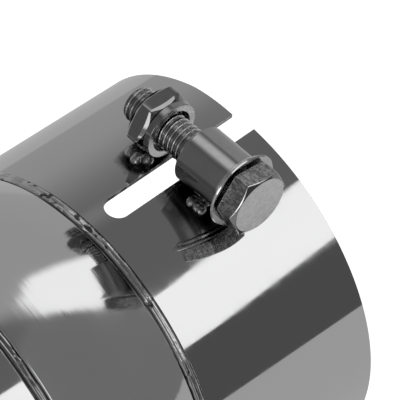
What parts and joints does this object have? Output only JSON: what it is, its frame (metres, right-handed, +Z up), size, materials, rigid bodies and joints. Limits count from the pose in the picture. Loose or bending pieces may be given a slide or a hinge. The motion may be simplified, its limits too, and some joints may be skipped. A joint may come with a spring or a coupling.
{
  "type": "clamp-on exhaust tip",
  "caption": "Polished round exhaust tip: slotted clamp sleeve with a cross bolt, domed shoulder and a straight body with a rolled-in outlet lip.",
  "frame": {"origin": "centre of the inlet sleeve's mouth, where the tail pipe goes in", "axes": "+X along the gas path from the inlet to the outlet, +Z up through the clamp slot, +Y towards the clamp bolt's head"},
  "size_m": [0.1726, 0.0802, 0.0838],
  "materials": {
    "polished_steel": "polished",
    "weld_metal": "satin",
    "turned_steel": "satin",
    "hardware_steel": "bright"
  },
  "bodies": {
    "root": {"inlet_sleeve": "polished_steel", "sleeve_seam_weld": "weld_metal", "shoulder": "polished_steel", "body_seam_weld": "weld_metal", "outer_body": "polished_steel", "head_side_bush": "turned_steel", "bush_weld": "weld_metal", "nut_side_ring": "turned_steel", "nut_weld": "weld_metal", "clamp_nut": "hardware_steel", "spring_washer": "hardware_steel", "flat_washer": "hardware_steel", "clamp_bolt": "hardware_steel"}
  },
  "joints": []
}
